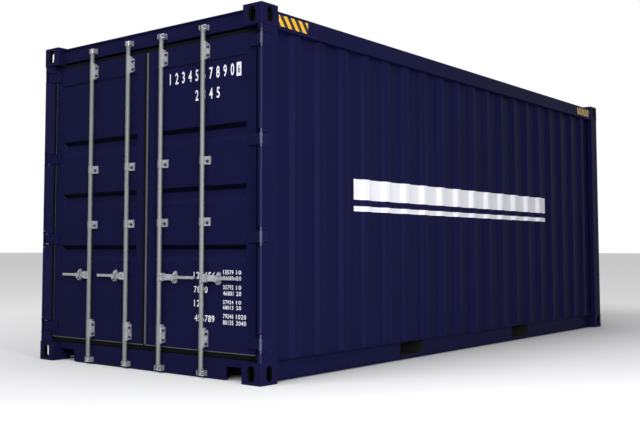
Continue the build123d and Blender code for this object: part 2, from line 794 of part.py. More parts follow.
# Locking bars with their cams and handle hubs, and the handles
for side, sign in sides:
    for bar_name, offset in zip(bar_names, bar_offsets):
        bar_x = sign * offset
        hub_x = bar_x + sign * hub_offset
        with BuildPart() as locking_bar:
            with BuildSketch(Plane.XY.offset(cam_heights[0])):
                with Locations((bar_x, from_doors(bar_inset))):
                    Circle(bar_radius)
            extrude(amount=cam_heights[1] - cam_heights[0])
            for centre in cam_heights:
                with BuildSketch(Plane.XY.offset(centre - cam_height / 2)) as cam_outline:
                    with Locations((bar_x + sign * (cam_reach - cam_back) / 2, from_doors(bar_inset))):
                        Rectangle(cam_reach + cam_back, cam_depth)
                    chamfer(cam_outline.vertices(), cam_chamfer)
                extrude(amount=cam_height)
                slot_x = bar_x + sign * (cam_slot_start + cam_reach) / 2
                with Locations((slot_x, from_doors(bar_inset), centre)):
                    Box(
                        cam_reach - cam_slot_start,
                        2 * cam_depth,
                        keeper_tongue_height + 2 * keeper_clearance,
                        mode=Mode.SUBTRACT,
                    )
            with BuildSketch(Plane.XY.offset(handle_height - hub_height / 2)):
                with Locations((bar_x + sign * hub_reach / 2, from_doors(handle_root_inset))):
                    Rectangle(hub_reach, handle_thickness + 2 * (hub_gap + hub_cheek))
            extrude(amount=hub_height)
            with BuildSketch(Plane.XY.offset(handle_height - hub_height / 2)):
                with Locations((bar_x + sign * (bar_radius + hub_reach) / 2, from_doors(handle_root_inset))):
                    Rectangle(hub_reach - bar_radius, handle_thickness + 2 * hub_gap)
            extrude(amount=hub_height, mode=Mode.SUBTRACT)
            with BuildSketch(upright(from_doors(handle_root_inset))):
                with Locations((hub_x, handle_height)):
                    Circle(hub_pin_radius)
            extrude(amount=handle_thickness / 2 + hub_gap + hub_cheek, both=True)
        keep(locking_bar, f"locking_bar_{side}_{bar_name}")

        with BuildPart() as handle:
            # Plan of the handle: a flat strip set back towards the door
            half = handle_thickness / 2
            taper_end = handle_shoulder + handle_taper_length
            start = bar_radius + hub_gap
            route = (
                (start, handle_root_inset),
                (handle_bend_start, handle_root_inset),
                (handle_bend_end, handle_tip_inset),
                (handle_length, handle_tip_inset),
            )
            with BuildSketch(Plane.XY.offset(handle_height - handle_root_height / 2)):
                with BuildLine():
                    Polyline(
                        *[(bar_x + sign * x, from_doors(inset - half)) for x, inset in route],
                        *[(bar_x + sign * x, from_doors(inset + half)) for x, inset in reversed(route)],
                        close=True,
                    )
                make_face()
            extrude(amount=handle_root_height)
            # Side view of the handle: a round eye that narrows to the grip
            with BuildSketch(upright(from_doors(0))):
                with BuildLine():
                    Polyline(
                        (hub_x, handle_height + handle_root_height / 2),
                        (bar_x + sign * handle_shoulder, handle_height + handle_root_height / 2),
                        (bar_x + sign * taper_end, handle_height + handle_tip_height / 2),
                        (bar_x + sign * handle_length, handle_height + handle_tip_height / 2),
                        (bar_x + sign * handle_length, handle_height - handle_tip_height / 2),
                        (bar_x + sign * taper_end, handle_height - handle_tip_height / 2),
                        (bar_x + sign * handle_shoulder, handle_height - handle_root_height / 2),
                        (hub_x, handle_height - handle_root_height / 2),
                        close=True,
                    )
                make_face()
                with Locations((hub_x, handle_height)):
                    Circle(handle_root_height / 2)
                    Circle(hub_pin_radius + pin_clearance, mode=Mode.SUBTRACT)
            extrude(amount=-2 * leaf_inset, mode=Mode.INTERSECT)
            # Catch strap across the front of the handle
            with BuildSketch(upright(from_doors(handle_tip_inset - half))) as strap_outline:
                with Locations((bar_x + sign * catch_offset, handle_height)):
                    Rectangle(catch_strap_length, catch_strap_width, rotation=90 - catch_strap_tilt)
                chamfer(strap_outline.vertices(), catch_strap_chamfer)
            extrude(amount=catch_plate)
        keep(handle, f"handle_{side}_{bar_name}")
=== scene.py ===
"""Surfaces, fittings and light for the steel shipping container, on its CAD frame.

Metres, in the frame of the CAD model: +Z is up, the doors are at the -Y end, and +X is to the right of someone
facing them.
"""
import json
import math

import bmesh
import bpy
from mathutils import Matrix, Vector


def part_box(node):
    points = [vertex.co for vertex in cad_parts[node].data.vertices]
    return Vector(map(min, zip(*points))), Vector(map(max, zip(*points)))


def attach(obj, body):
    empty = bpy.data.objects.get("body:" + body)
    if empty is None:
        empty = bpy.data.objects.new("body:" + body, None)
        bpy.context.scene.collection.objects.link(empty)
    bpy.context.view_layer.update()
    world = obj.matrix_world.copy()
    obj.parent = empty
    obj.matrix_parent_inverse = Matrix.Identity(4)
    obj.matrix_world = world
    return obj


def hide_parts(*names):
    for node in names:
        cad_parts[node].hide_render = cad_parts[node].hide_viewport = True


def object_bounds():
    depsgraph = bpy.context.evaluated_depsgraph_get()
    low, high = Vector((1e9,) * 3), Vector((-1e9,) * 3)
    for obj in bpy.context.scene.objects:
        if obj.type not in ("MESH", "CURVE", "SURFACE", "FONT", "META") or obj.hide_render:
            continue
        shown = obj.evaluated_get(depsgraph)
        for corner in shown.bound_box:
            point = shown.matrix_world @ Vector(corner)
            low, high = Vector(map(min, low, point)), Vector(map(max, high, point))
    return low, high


bl_info = {
    "name": "Shipping container",
    "version": (1, 0, 0),
    "blender": (4, 5, 0),
    "location": "View3D > Sidebar > Container",
    "description": "Dresses the CAD model of a steel shipping container",
    "category": "Object",
}

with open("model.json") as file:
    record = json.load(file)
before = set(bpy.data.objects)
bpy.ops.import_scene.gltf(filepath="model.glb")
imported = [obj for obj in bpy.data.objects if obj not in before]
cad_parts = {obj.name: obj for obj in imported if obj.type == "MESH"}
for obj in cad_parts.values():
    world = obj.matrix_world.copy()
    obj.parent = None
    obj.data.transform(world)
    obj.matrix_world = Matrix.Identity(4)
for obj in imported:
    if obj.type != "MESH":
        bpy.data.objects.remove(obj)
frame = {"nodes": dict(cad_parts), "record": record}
cad_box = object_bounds()
BODY_OF = {
    node: body for body, nodes in frame["record"]["behaviour"]["bodies"].items() for node in nodes
}
SIDES = (("left", -1), ("right", 1))
BARS = ("inner", "outer")
ALL_BARS = [(side, bar) for side, _ in SIDES for bar in BARS]


def linear(hex_colour):
    """An sRGB hex colour as linear red, green, blue and alpha."""
    channels = [int(hex_colour[index : index + 2], 16) / 255 for index in (1, 3, 5)]
    return (*[c / 12.92 if c <= 0.04045 else ((c + 0.055) / 1.055) ** 2.4 for c in channels], 1.0)


def colour_property(name, description, hex_colour):
    return bpy.props.FloatVectorProperty(
        name=name,
        description=description,
        default=linear(hex_colour)[:3],
        size=3,
        min=0,
        max=1,
        subtype="COLOR",
    )


def length_property(name, description, metres):
    return bpy.props.FloatProperty(name=name, description=description, default=metres, min=0, unit="LENGTH")


class ContainerColours(bpy.types.PropertyGroup):
    paint: colour_property("Paint", "Top coat on all outside steel", "#131336")
    # the hinge colour is a painted highlight, pale paint on the eyes' faces that look towards the lamps
    hinge: colour_property("Hinge paint", "Paint on the hinges, rubbed pale", "#4e4c6a")
    zinc: colour_property("Zinc", "Galvanised locking gear", "#828384")
    rubber: colour_property("Rubber", "Door seals", "#0b0c09")
    marking: colour_property("Markings", "Numbers and stripes", "#e6e6ee")
    hazard: colour_property("Hazard yellow", "Height warning labels", "#e3ac28")
    backdrop: colour_property("Backdrop", "Floor under the container", "#ececee")


class ContainerSizes(bpy.types.PropertyGroup):
    plate_edge: length_property("Plate edge", "Radius on the edges of plates and posts", 0.003)
    post_corner: length_property("Post corner", "Radius of the outer corner of the door posts", 0.012)
    cast_edge: length_property("Cast edge", "Radius on the edges of the corner castings", 0.006)
    fold: length_property("Fold", "Radius of the folds in pressed sheets", 0.009)
    forged_edge: length_property("Forged edge", "Radius on the edges of cams, handles and hinges", 0.0025)
    bead: length_property("Weld bead", "Radius of the weld beads", 0.0035)
    strip_width: length_property("Strip width", "Width of the strips that hold the seals", 0.008)
    strip_height: length_property("Strip height", "How far the strips stand off the doors", 0.003)
    bolt: length_property("Bolt", "Width across the flats of the bracket bolts", 0.016)


class ContainerStage(bpy.types.PropertyGroup):
    lens: bpy.props.FloatProperty(name="Lens", description="Focal length", default=51.056, unit="CAMERA")
    key: bpy.props.FloatProperty(name="Key light", description="Power", default=1000.0, unit="POWER")
    fill: bpy.props.FloatProperty(name="Fill", description="Strength of the light all round", default=0.42)


# Helpers for shaping

SMOOTH_BELOW = math.radians(50)
SAME_PLACE = 1e-5
# how much the digits' strokes are thickened, and how far they stand off the door
STROKE, FILM_RISE = 0.018, 0.0004


def make_active(*pieces):
    """Select only these objects and make the first one active."""
    bpy.ops.object.select_all(action="DESELECT")
    for piece in pieces:
        piece.select_set(True)
    bpy.context.view_layer.objects.active = pieces[0]


def started(label, add, **settings):
    """What this operator adds, alone in the selection and under this name."""
    bpy.ops.object.select_all(action="DESELECT")
    add(**settings)
    piece = bpy.context.active_object
    piece.name = label
    return piece


def edit(piece):
    make_active(piece)
    bpy.ops.object.mode_set(mode="EDIT")


def leave():
    bpy.ops.object.mode_set(mode="OBJECT")


def take_all():
    bpy.ops.mesh.select_all(action="SELECT")


def apply_place():
    """Move the selected objects' places, turns and sizes into their meshes."""
    bpy.ops.object.transform_apply(location=True, rotation=True, scale=True)


def apply_modifier(piece, kind, **settings):
    """Put a modifier on the active piece and apply it."""
    bpy.ops.object.modifier_add(type=kind)
    for name, value in settings.items():
        setattr(piece.modifiers[-1], name, value)
    bpy.ops.object.modifier_apply(modifier=piece.modifiers[-1].name)


def choose(piece, kind, test):
    """In edit mode, select the vertices, edges or faces that pass the test, and nothing else."""
    shape = bmesh.from_edit_mesh(piece.data)
    bpy.ops.mesh.select_all(action="DESELECT")
    bpy.context.tool_settings.mesh_select_mode = [kind == each for each in ("verts", "edges", "faces")]
    for element in getattr(shape, kind):
        if test(element):
            element.select_set(True)
    shape.select_flush_mode()
    bmesh.update_edit_mesh(piece.data)


def along(axis, least=0.0003):
    """A test for edges that run along this axis and are longer than this."""
    index = "xyz".index(axis)

    def test(edge):
        step = edge.verts[0].co - edge.verts[1].co
        return abs(step[index]) > max(least, 0.99 * step.length)

    return test


def bend(low, high):
    """A test for edges whose faces turn by between this many degrees."""

    def test(edge):
        return edge.is_manifold and low < math.degrees(edge.calc_face_angle(0)) < high

    return test


SQUARE = bend(60, 120)


def round_edges(piece, radius, segments, test):
    """Bevel the chosen edges of a piece that is in edit mode."""
    choose(piece, "edges", test)
    bpy.ops.mesh.bevel(offset=radius, segments=segments, affect="EDGES", clamp_overlap=True)


def copied(source, label):
    """A new object in the scene with a copy of the source's mesh."""
    piece = bpy.data.objects.new(label, source.data.copy())
    bpy.context.scene.collection.objects.link(piece)
    return piece


def merged_copy(node, label):
    """A copy of a CAD node's mesh with its loose triangles joined into faces, in edit mode."""
    piece = copied(frame["nodes"][node], label)
    piece.data.materials.clear()
    edit(piece)
    bpy.ops.mesh.customdata_custom_splitnormals_clear()
    take_all()
    bpy.ops.mesh.mark_sharp(clear=True)
    bpy.ops.mesh.remove_doubles(threshold=SAME_PLACE)
    bpy.ops.mesh.tris_convert_to_quads(face_threshold=math.radians(1), shape_threshold=math.pi)
    return piece


def finish_piece(piece, body, look, replaced=()):
    """Shade a shaped piece, give it the named material and hang it on its body."""
    if bpy.context.mode != "OBJECT":
        leave()
    make_active(piece)
    apply_place()
    bpy.ops.object.shade_smooth_by_angle(angle=SMOOTH_BELOW)
    apply_modifier(piece, "WEIGHTED_NORMAL", keep_sharp=True)
    piece.data.materials.clear()
    piece.data.materials.append(material(look))
    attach(piece, body)
    if replaced:
        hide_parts(*replaced)
    return piece


def second_look(piece, look, test):
    """Give the faces that pass the test another material."""
    piece.data.materials.append(material(look))
    for face in piece.data.polygons:
        if test(face):
            face.material_index = len(piece.data.materials) - 1


def soften(node, look, rounds):
    """Replace a CAD node by a copy with rounded edges: rounds holds (lowest turn, highest turn, radius, segments)."""
    piece = merged_copy(node, f"{node}_finished")
    for low, high, radius, segments in rounds:
        round_edges(piece, radius, segments, bend(low, high))
    return finish_piece(piece, BODY_OF[node], look, (node,))


def shrink_about(piece, centre, share, test):
    """Scale the vertices that pass the test about a centre, in edit mode."""
    choose(piece, "verts", lambda corner: test(corner.co))
    bpy.ops.transform.resize(value=share, center_override=centre)


def shift(piece, step, test):
    """Move the vertices that pass the test, in edit mode."""
    choose(piece, "verts", lambda corner: test(corner.co))
    bpy.ops.transform.translate(value=step)


def block(label, low, high):
    """A box between two corners, in edit mode, to be shaped further."""
    low, high = Vector(low), Vector(high)
    piece = started(label, bpy.ops.mesh.primitive_cube_add, size=1, location=(low + high) / 2, scale=high - low)
    apply_place()
    edit(piece)
    return piece


def rounded_block(label, low, high, radius, segments, body, look, slot, test=SQUARE):
    """A finished box between two corners, with the edges that pass the test rounded."""
    piece = block(label, low, high)
    round_edges(piece, radius, segments, test)
    finish_piece(piece, body, look)


def turned(label, axis, profile, steps=24):
    """A turned piece round an axis through the origin: profile holds (radius, height along the axis)."""
    axis = Vector(axis).normalized()
    across = axis.orthogonal().normalized()
    points = [across * radius + axis * height for radius, height in profile]
    piece = started(label, bpy.ops.mesh.primitive_plane_add, size=1)
    edit(piece)
    bpy.ops.mesh.select_mode(type="VERT")
    take_all()
    bpy.ops.mesh.merge(type="CENTER")
    bpy.ops.transform.translate(value=points[0])
    for start, end in zip(points, points[1:]):
        bpy.ops.mesh.extrude_vertices_move(TRANSFORM_OT_translate={"value": end - start})
    take_all()
    bpy.ops.mesh.spin(steps=steps, angle=math.tau, center=(0, 0, 0), axis=axis)
    take_all()
    bpy.ops.mesh.remove_doubles(threshold=SAME_PLACE)
    bpy.ops.mesh.normals_make_consistent(inside=False)
    leave()
    return piece


def pressed_sheet(label, centre, size, turn, bands, slope, depth, fold):
    """A flat sheet with bands pressed into it or out of it: bands holds (lowest corner, highest corner) of each."""
    piece = started(label, bpy.ops.mesh.primitive_plane_add, size=1, location=centre, rotation=turn)
    piece.scale = (*size, 1)
    apply_place()
    edit(piece)
    extent = Vector(piece.dimensions)
    flat = [axis for axis in range(3) if extent[axis] > SHEET]
    for axis in flat:
        for place in sorted({round(corner[axis], 5) for band in bands for corner in band}):
            take_all()
            cut = Vector((0, 0, 0))
            cut[axis] = 1
            bpy.ops.mesh.bisect(plane_co=cut * place, plane_no=cut)

    def in_band(face):
        middle = face.calc_center_median()
        return any(all(low[axis] < middle[axis] < high[axis] for axis in flat) for low, high in bands)

    choose(piece, "faces", in_band)
    bpy.ops.mesh.inset(thickness=slope, depth=depth)
    round_edges(piece, fold, 3, bend(20, 80))
    leave()
    make_active(piece)
    apply_modifier(piece, "SOLIDIFY", thickness=SHEET, offset=-1)
    return piece


def hex_bolt(label, across, rise):
    """A hexagon bolt head on its washer, at the origin and facing -Y."""
    washer, head_rise = rise * 0.3, rise * 0.7

    def cylinder(name, sides, radius, height, start):
        piece = started(
            name,
            bpy.ops.mesh.primitive_cylinder_add,
            vertices=sides,
            radius=radius,
            depth=height,
            location=(0, -start - height / 2, 0),
            rotation=(math.pi / 2, 0, 0),
        )
        apply_place()
        edit(piece)
        return piece

    disc = cylinder(label, 20, across * 0.68, washer, 0)
    round_edges(disc, washer * 0.3, 1, SQUARE)
    leave()
    head = cylinder(f"{label}_head", 6, across / 3**0.5, head_rise, washer)
    choose(head, "faces", lambda face: face.normal.y < -0.9)
    bpy.ops.mesh.inset(thickness=across * 0.08, depth=across * 0.05)
    round_edges(head, across * 0.03, 1, bend(40, 70))
    leave()
    return joined([disc, head], label)


def number(label, digits, across, tall, face, look, spacing=1.2):
    """Plain digits on the right-hand door, stretched to fill these ranges."""
    piece = started(label, bpy.ops.object.text_add, rotation=(math.pi / 2, 0, 0))
    piece.data.body = digits
    piece.data.resolution_u = 3
    piece.data.space_character = spacing
    piece.data.offset = STROKE
    bpy.ops.object.convert(target="MESH")
    piece = bpy.context.active_object
    apply_place()
    low = [min(corner[axis] for corner in piece.bound_box) for axis in range(3)]
    wide, high = piece.dimensions.x, piece.dimensions.z
    ratio = ((across[1] - across[0]) / wide, (tall[1] - tall[0]) / high)
    piece.scale = (ratio[0], 1, ratio[1])
    piece.location = (across[0] - low[0] * ratio[0], face, tall[0] - low[2] * ratio[1])
    apply_place()
    edit(piece)
    take_all()
    bpy.ops.mesh.extrude_region_move(TRANSFORM_OT_translate={"value": (0, -FILM_RISE, 0)})
    leave()
    return finish_piece(piece, "door_right", look)


def joined(pieces, label):
    make_active(*pieces)
    if len(pieces) > 1:
        bpy.ops.object.join()
    pieces[0].name = label
    return pieces[0]


def repeated(template, places, label):
    """Copies of a piece modelled at the origin, one at each place, joined into one piece."""
    pieces = [copied(template, label) for _ in places]
    for piece, place in zip(pieces, places):
        piece.location = place
    make_active(*pieces)
    apply_place()
    return joined(pieces, label)


def discard(*pieces):
    for piece in pieces:
        bpy.data.objects.remove(piece, do_unlink=True)


# Helpers for materials


def add_node(tree, kind, inputs=None, **settings):
    """Add a node: settings are its properties, inputs its sockets' values or the sockets linked to them."""
    node = tree.nodes.new(kind)
    for name, value in settings.items():
        setattr(node, name, value)
    for name, value in (inputs or {}).items():
        if isinstance(value, bpy.types.NodeSocket):
            tree.links.new(value, node.inputs[name])
        else:
            node.inputs[name].default_value = value
    return node


def per(millimetres):
    """The pattern scale at which one feature is this many millimetres wide."""
    return 1000 / millimetres


def noise(tree, place, millimetres, detail):
    """Soft patches this many millimetres wide, from 0 to 1."""
    inputs = {"Vector": place, "Scale": per(millimetres), "Detail": detail}
    return add_node(tree, "ShaderNodeTexNoise", inputs).outputs[0]


def ramp(tree, value, low, high, start=0.0, end=1.0):
    """From low to high while the value goes from start to end."""
    inputs = {"Value": value, "From Min": start, "From Max": end, "To Min": low, "To Max": high}
    return add_node(tree, "ShaderNodeMapRange", inputs).outputs[0]


def uneven(tree, height, strength, distance):
    """A surface raised by a pattern: distance is the pattern's height in metres."""
    inputs = {"Height": height, "Strength": strength, "Distance": distance}
    return add_node(tree, "ShaderNodeBump", inputs).outputs[0]


def maths(tree, operation, *values, clamp=False):
    return add_node(tree, "ShaderNodeMath", dict(enumerate(values)), operation=operation, use_clamp=clamp).outputs[0]


def background_rays(tree):
    """1 for what the camera sees straight, mirrored or through glass, and 0 for the light on other surfaces."""
    path = add_node(tree, "ShaderNodeLightPath").outputs
    seen = maths(tree, "ADD", path["Is Camera Ray"], path["Is Glossy Ray"])
    return maths(tree, "ADD", seen, path["Is Transmission Ray"], clamp=True)


def close_material(tree, **inputs):
    """End a tree in one Principled shader: underscores stand for the spaces in socket names."""
    shader = add_node(
        tree, "ShaderNodeBsdfPrincipled", {name.replace("_", " "): value for name, value in inputs.items()}
    )
    add_node(tree, "ShaderNodeOutputMaterial", {"Surface": shader.outputs["BSDF"]})


def tone(tree, factor, first, second):
    """A colour between two, by a factor."""
    return add_node(
        tree, "ShaderNodeMix", {"Factor": factor, "A": first, "B": second}, data_type="RGBA"
    ).outputs["Result"]


def shade(colour, share):
    """A linear colour made darker or lighter."""
    return (*[channel * share for channel in colour[:3]], 1.0)


# Materials


def sprayed_paint(tree, place, colour, grain=14.0, relief=0.0006, stripes=None):
    """Alkyd top coat sprayed over zinc primer: an even satin skin, faintly rippled, thinner and duller in patches."""
    # the film's thickness drifts over about half a metre, which shifts the tone a little
    patches = noise(tree, place, 550, 3.0)
    base = tone(tree, patches, shade(colour, 0.86), shade(colour, 1.14))
    # road film lies thicker towards the bottom: grey-brown, in soft vertical runs a hand wide
    stretch = add_node(tree, "ShaderNodeMapping", {"Vector": place, "Scale": (1.0, 1.0, 0.12)}).outputs[0]
    runs = noise(tree, stretch, 90, 4.0)
    height = add_node(tree, "ShaderNodeSeparateXYZ", {"Vector": place}).outputs["Z"]
    low = ramp(tree, height, 0.006, 0.0, end=1.1)
    film = maths(tree, "MULTIPLY", runs, low)
    base = tone(tree, film, base, linear("#6b6560"))
    if stripes:
        base = tone(tree, stripes(tree, place), base, marking_colour())
    # orange peel, drawn at 14 mm because the real 2 mm ripple is too fine to show
    peel = noise(tree, place, grain, 2.0)
    gloss = ramp(tree, patches, 0.46, 0.53)
    bump = uneven(tree, peel, 0.25, relief)
    close_material(tree, Base_Color=base, Roughness=gloss, Specular_IOR_Level=0.02, Normal=bump)


def cast_paint(tree, place, colour):
    """The same top coat over sand-cast steel: the mould's grain shows as a fine pebbled skin."""
    sprayed_paint(tree, place, colour, grain=7.0, relief=0.0018)


def marking_colour():
    return (*bpy.context.scene.container_colours.marking, 1.0)


def twin_stripes(tree, place):
    """1 inside the two plain stripes along a side wall, 0 outside."""
    axes = add_node(tree, "ShaderNodeSeparateXYZ", {"Vector": place}).outputs

    def within(axis, low, high):
        return maths(tree, "COMPARE", axes[axis], (low + high) / 2, (high - low) / 2)

    wide, narrow = [within("Z", *heights) for heights in STRIPE_HEIGHTS]
    return maths(tree, "MULTIPLY", maths(tree, "ADD", wide, narrow), within("Y", *STRIPE_ENDS))


def galvanised_steel(tree, place, colour, spangle=11.0):
    """Hot-dip galvanised steel: dull grey zinc with faint crystal patches, brighter where it rubs."""
    # zinc crystals about 11 mm across
    crystals = add_node(tree, "ShaderNodeTexVoronoi", {"Vector": place, "Scale": per(spangle)}).outputs["Color"]
    grey = add_node(tree, "ShaderNodeSeparateColor", {"Color": crystals}).outputs[0]
    clouds = noise(tree, place, 160, 5.0)
    mixed = maths(tree, "MULTIPLY", grey, clouds)
    base = tone(tree, mixed, shade(colour, 0.82), shade(colour, 1.12))
    rough = ramp(tree, mixed, 0.58, 0.74)
    grain = noise(tree, place, 5, 3.0)
    bump = uneven(tree, grain, 0.2, 0.0004)
    close_material(tree, Base_Color=base, Metallic=0.55, Roughness=rough, Normal=bump)


def forged_zinc(tree, place):
    """Zinc-plated forgings, newer than the tubes: brighter, with a soft sheen and dark stains in patches."""
    stains = noise(tree, place, 18, 5.0)
    base = tone(tree, stains, linear("#5c5c61"), linear("#c6c6cf"))
    rough = ramp(tree, stains, 0.52, 0.38)
    bump = uneven(tree, stains, 0.3, 0.0006)
    close_material(tree, Base_Color=base, Metallic=0.6, Roughness=rough, Normal=bump)


def black_oxide(tree, place):
    """Black-oxide steel screws and washers: near black with a waxy sheen."""
    spots = noise(tree, place, 6, 3.0)
    base = tone(tree, spots, linear("#1a1a1c"), linear("#2c2b2b"))
    bump = uneven(tree, spots, 0.2, 0.0003)
    close_material(tree, Base_Color=base, Metallic=0.6, Roughness=0.5, Normal=bump)


def epdm_rubber(tree, place, colour):
    """Extruded EPDM: matt black with fine drawing lines and a grey bloom in patches."""
    bloom = noise(tree, place, 120, 4.0)
    base = tone(tree, bloom, shade(colour, 0.6), shade(colour, 1.5))
    grain = noise(tree, place, 4, 2.0)
    bump = uneven(tree, grain, 0.3, 0.0004)
    close_material(tree, Base_Color=base, Roughness=0.8, Specular_IOR_Level=0.04, Normal=bump)


def rolled_aluminium(tree, place):
    """Aluminium strip gone dark grey with weather: long drawing marks down its length."""
    long_marks = add_node(tree, "ShaderNodeMapping", {"Vector": place, "Scale": (1.0, 1.0, 0.04)}).outputs[0]
    marks = noise(tree, long_marks, 3, 2.0)
    base = tone(tree, marks, linear("#4a4a50"), linear("#66666c"))
    rough = ramp(tree, marks, 0.36, 0.5)
    close_material(tree, Base_Color=base, Metallic=0.8, Roughness=rough)


def phenolic_plywood(tree, place):
    """Container-floor plywood, oiled and walked on: brown boards 1.2 m long with grain and dark scuffs."""
    boards = add_node(
        tree,
        "ShaderNodeTexBrick",
        {
            "Vector": place,
            "Color1": linear("#6d4a2c"),
            "Color2": linear("#7c5836"),
            "Mortar": linear("#20160e"),
            "Scale": 1.0,
            "Mortar Size": 0.002,
            "Brick Width": 1.16,
            "Row Height": 2.4,
        },
        offset=0.0,
    ).outputs["Color"]
    stretch = add_node(tree, "ShaderNodeMapping", {"Vector": place, "Scale": (1.0, 0.06, 1.0)}).outputs[0]
    grain = noise(tree, stretch, 12, 6.0)
    scuffs = noise(tree, place, 300, 6.0)
    base = tone(tree, grain, boards, linear("#4a3220"))
    base = tone(tree, maths(tree, "MULTIPLY", scuffs, 0.4), base, linear("#2b2018"))
    bump = uneven(tree, grain, 0.3, 0.0006)
    close_material(tree, Base_Color=base, Roughness=0.5, Normal=bump)


def bitumen_coat(tree, place):
    """Brushed bitumen on the underframe: dull black with a ropy texture and dust in the hollows."""
    ropes = noise(tree, place, 22, 5.0)
    dust = ramp(tree, ropes, 0.0, 0.35, 0.5, 0.8)
    base = tone(tree, dust, linear("#111113"), linear("#3a3733"))
    bump = uneven(tree, ropes, 0.5, 0.0015)
    close_material(tree, Base_Color=base, Roughness=0.7, Specular_IOR_Level=0.25, Normal=bump)


def hollow_shade_coat(tree, place):
    """Painted shade for the hollows inside the castings: near black and slightly wet, with a gritty bump."""
    grit = noise(tree, place, 9, 4.0)
    base = tone(tree, grit, linear("#020204"), linear("#0c0c10"))
    bump = uneven(tree, grit, 0.4, 0.001)
    close_material(tree, Base_Color=base, Roughness=0.6, Specular_IOR_Level=0.08, Normal=bump)


def hazard_vinyl(tree, place, yellow):
    """Printed vinyl label: yellow and black diagonals 80 mm apart under a clear satin film."""
    axes = add_node(tree, "ShaderNodeSeparateXYZ", {"Vector": place})
    # the diagonal runs along the label and down it, so one sum of the two axes gives the stripes
    lean = maths(tree, "MULTIPLY", axes.outputs["Z"], 0.75)
    run = maths(tree, "ADD", axes.outputs["Y"], lean)
    turn = maths(tree, "MULTIPLY", run, 1 / 0.0815)
    phase = maths(tree, "FRACT", turn)
    black = maths(tree, "GREATER_THAN", phase, 0.5)
    grime = noise(tree, place, 60, 4.0)
    bright = tone(tree, grime, shade(yellow, 0.85), shade(yellow, 1.08))
    base = tone(tree, black, bright, linear("#121214"))
    close_material(tree, Base_Color=base, Roughness=0.42, Specular_IOR_Level=0.3)


def marking_paint(tree, place, colour):
    """Self-adhesive white film for the numbers: flat, slightly yellowed and dusty in patches."""
    dust = noise(tree, place, 45, 4.0)
    base = tone(tree, dust, shade(colour, 1.0), shade(colour, 0.86))
    close_material(tree, Base_Color=base, Roughness=0.5, Specular_IOR_Level=0.3)


def studio_floor(tree, place, colour):
    """A seamless paper floor: it takes the container's shadow and is white where nothing shades it."""
    seen = background_rays(tree)
    # the paper is lifted to white away from the container only, so the shadow under it stays dark
    far = add_node(tree, "ShaderNodeVectorMath", {0: place}, operation="ABSOLUTE").outputs[0]
    far = add_node(tree, "ShaderNodeVectorMath", {0: far, 1: (1.2, 3.0, 0.0)}, operation="SUBTRACT").outputs[0]
    far = add_node(tree, "ShaderNodeVectorMath", {0: far, 1: (0.0, 0.0, 0.0)}, operation="MAXIMUM").outputs[0]
    away = add_node(tree, "ShaderNodeVectorMath", {0: far}, operation="LENGTH").outputs["Value"]
    eased = maths(tree, "POWER", ramp(tree, away, 0.0, 1.0, end=5.0), 0.6)
    strength = maths(tree, "MULTIPLY", seen, maths(tree, "MULTIPLY", eased, FLOOR_LIFT))
    shown = tone(tree, seen, shade(colour, 0.2), shade(colour, 0.9))
    matt = add_node(tree, "ShaderNodeBsdfDiffuse", {"Color": shown}).outputs[0]
    lift = add_node(tree, "ShaderNodeEmission", {"Color": (1, 1, 1, 1), "Strength": strength}).outputs[0]
    both = add_node(tree, "ShaderNodeAddShader", {0: matt, 1: lift}).outputs[0]
    add_node(tree, "ShaderNodeOutputMaterial", {"Surface": both})


MAKERS = {
    "alkyd_paint": lambda c, *at: sprayed_paint(*at, c.paint),
    # painted shade: the top coat darkened to a fifth, for folds, hinge eyes and a seal lip that fall in shadow
    "alkyd_paint_grimed": lambda c, *at: sprayed_paint(*at, shade(c.paint, 0.2)),
    # painted highlight: a lighter top coat for the door posts' slanted outer corners
    "alkyd_paint_rubbed": lambda c, *at: sprayed_paint(*at, linear("#2a2947")),
    "alkyd_paint_striped": lambda c, *at: sprayed_paint(*at, c.paint, stripes=twin_stripes),
    "cast_steel_paint": lambda c, *at: cast_paint(*at, c.paint),
    # painted highlight on the hinge eyes
    "hinge_paint": lambda c, *at: sprayed_paint(*at, c.hinge, grain=6.0, relief=0.001),
    "galvanised_steel": lambda c, *at: galvanised_steel(*at, c.zinc),
    "forged_zinc": lambda c, *at: forged_zinc(*at),
    "black_oxide_steel": lambda c, *at: black_oxide(*at),
    "epdm_rubber": lambda c, *at: epdm_rubber(*at, c.rubber),
    "rolled_aluminium": lambda c, *at: rolled_aluminium(*at),
    "phenolic_plywood": lambda c, *at: phenolic_plywood(*at),
    "bitumen_coat": lambda c, *at: bitumen_coat(*at),
    "grease": lambda c, *at: hollow_shade_coat(*at),
    "hazard_vinyl": lambda c, *at: hazard_vinyl(*at, c.hazard),
    "marking_film": lambda c, *at: marking_paint(*at, c.marking),
    "studio_floor": lambda c, *at: studio_floor(*at, (*c.backdrop, 1.0)),
}


def material(name):
    """The named material, made on its first use."""
    made = bpy.data.materials.get(name)
    if made is None:
        made = bpy.data.materials.new(name)
        made.use_nodes = True
        tree = made.node_tree
        tree.nodes.clear()
        place = add_node(tree, "ShaderNodeTexCoord").outputs["Object"]
        MAKERS[name](bpy.context.scene.container_colours, tree, place)
    return made


# Places and sizes that the pieces share, in metres
DOOR_END = cad_box[0].y
LEAF_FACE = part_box("door_frame_right")[0].y
PANEL_FACE = LEAF_FACE + 0.004
SHEET = 0.004
FILM = 0.0005
# how far in from the outer side a casting's hollow reaches, and how deep the paint goes into its openings
HOLLOW_REACH = 0.168
PAINTED_LIP = 0.004
# where the door posts' outer corners carry a painted highlight, lighter paint for the light they catch: beyond this
# x, and this deep
POST_HIGHLIGHT_FROM, POST_HIGHLIGHT_DEPTH = 1.2, 0.012
